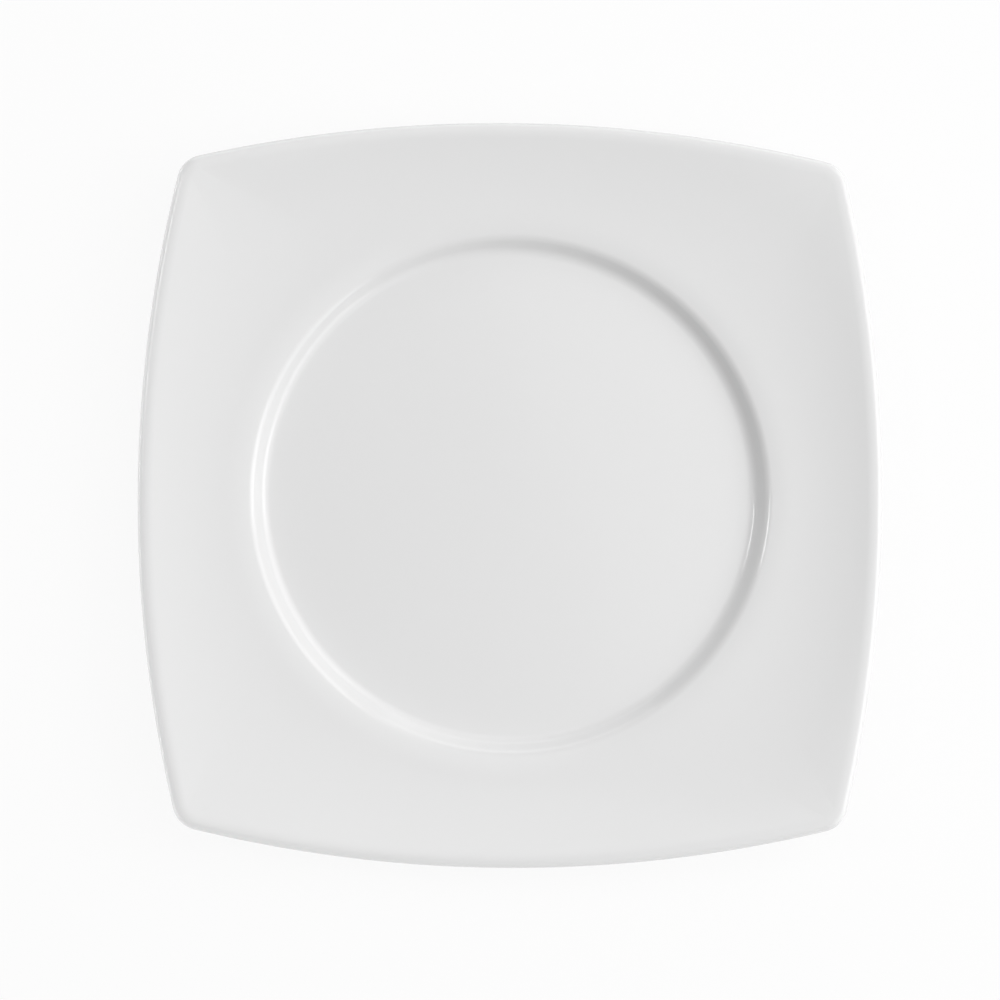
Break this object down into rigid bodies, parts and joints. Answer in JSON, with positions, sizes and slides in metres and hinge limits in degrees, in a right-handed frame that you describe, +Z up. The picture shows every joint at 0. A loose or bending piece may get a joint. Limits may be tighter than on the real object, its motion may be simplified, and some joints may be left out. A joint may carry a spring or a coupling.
{
  "type": "square dinner plate",
  "caption": "White glazed porcelain dinner plate: bowed square rim with small round corners, round sunken well and a round foot ring with a bare bearing band.",
  "frame": {"origin": "centre of the foot ring's bearing plane, where the plate stands", "axes": "+Z up out of the well; +X and +Y through the middles of two neighbouring sides"},
  "size_m": [0.26, 0.26, 0.0228],
  "materials": {
    "bare_porcelain": "fired and unglazed, smooth matte",
    "white_glaze": "clear gloss over white porcelain"
  },
  "bodies": {
    "root": {"porcelain_body": "bare_porcelain", "face_glaze": "white_glaze", "base_glaze": "white_glaze"}
  },
  "joints": []
}
